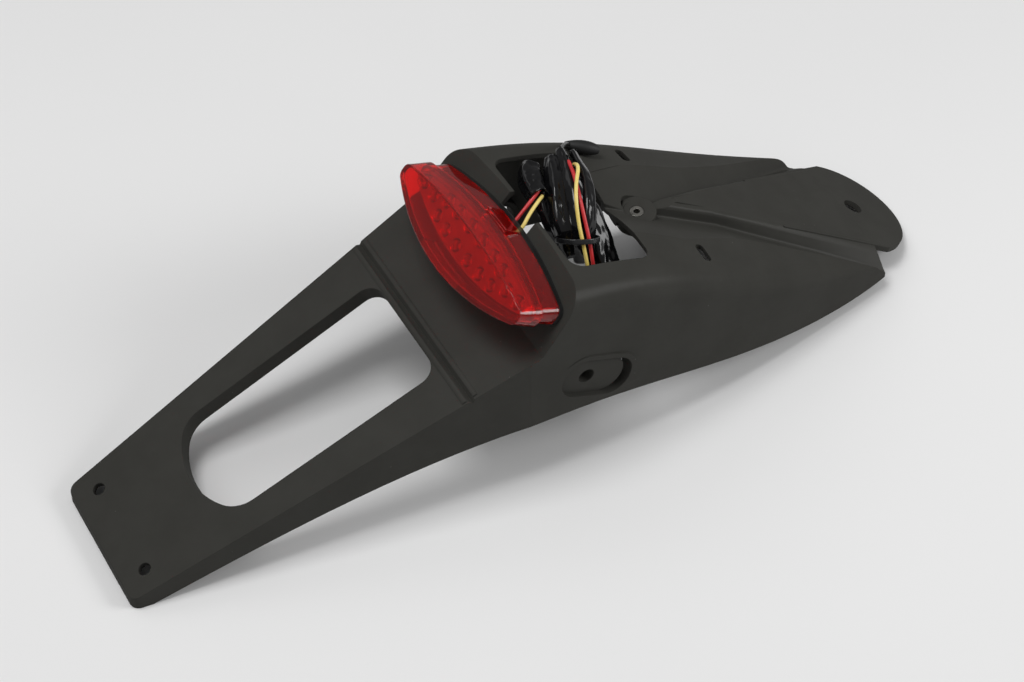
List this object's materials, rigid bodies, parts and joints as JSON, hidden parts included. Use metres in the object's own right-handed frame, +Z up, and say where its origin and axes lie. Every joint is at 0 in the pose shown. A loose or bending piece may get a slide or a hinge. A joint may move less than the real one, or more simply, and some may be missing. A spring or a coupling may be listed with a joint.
{
  "type": "tail tidy",
  "caption": "Moulded tail tidy for a motorbike: tapered plate arm with a cut-out, hood with a red LED tail lamp, wiring opening and a nose tongue with a fixing hole.",
  "frame": {"origin": "middle of the footprint, on the surface that the plate end and the tongue tip rest on", "axes": "+X from the plate end to the nose tongue, +Y across, +Z up"},
  "size_m": [0.4654, 0.1276, 0.1271],
  "materials": {
    "body_plastic": "fine moulded texture, charcoal black",
    "lens_red": "smooth red see-through moulding",
    "window_clear": "clear moulding",
    "lamp_black": "plain black moulding",
    "gasket_rubber": "soft black foam rubber",
    "board_green": "lacquered circuit board",
    "emitter_clear": "clear moulded emitters",
    "reflector_chrome": "bright metallised moulding",
    "screw_steel": "zinc plated",
    "insert_brass": "nickel-pale brass",
    "sleeve_black": "shiny black sleeving",
    "tie_black": "black nylon",
    "wire_red": "red insulation",
    "wire_yellow": "yellow insulation",
    "wire_black": "black insulation"
  },
  "bodies": {
    "root": {"tail_body": "body_plastic", "lamp_lens": "lens_red", "plate_light_window": "window_clear", "lamp_base": "lamp_black", "lamp_gasket": "gasket_rubber", "led_board": "board_green", "led_emitters": "emitter_clear", "led_reflector": "reflector_chrome", "lamp_screws": "screw_steel", "lamp_washers": "screw_steel", "threaded_insert": "insert_brass", "loom_hank": "sleeve_black", "loom_sleeve": "sleeve_black", "connector_boot": "sleeve_black", "cable_tie": "tie_black", "wire_red_lamp": "wire_red", "wire_red_tail": "wire_red", "wire_yellow_lamp": "wire_yellow", "wire_yellow_tail": "wire_yellow", "wire_black_lead": "wire_black"}
  },
  "joints": []
}
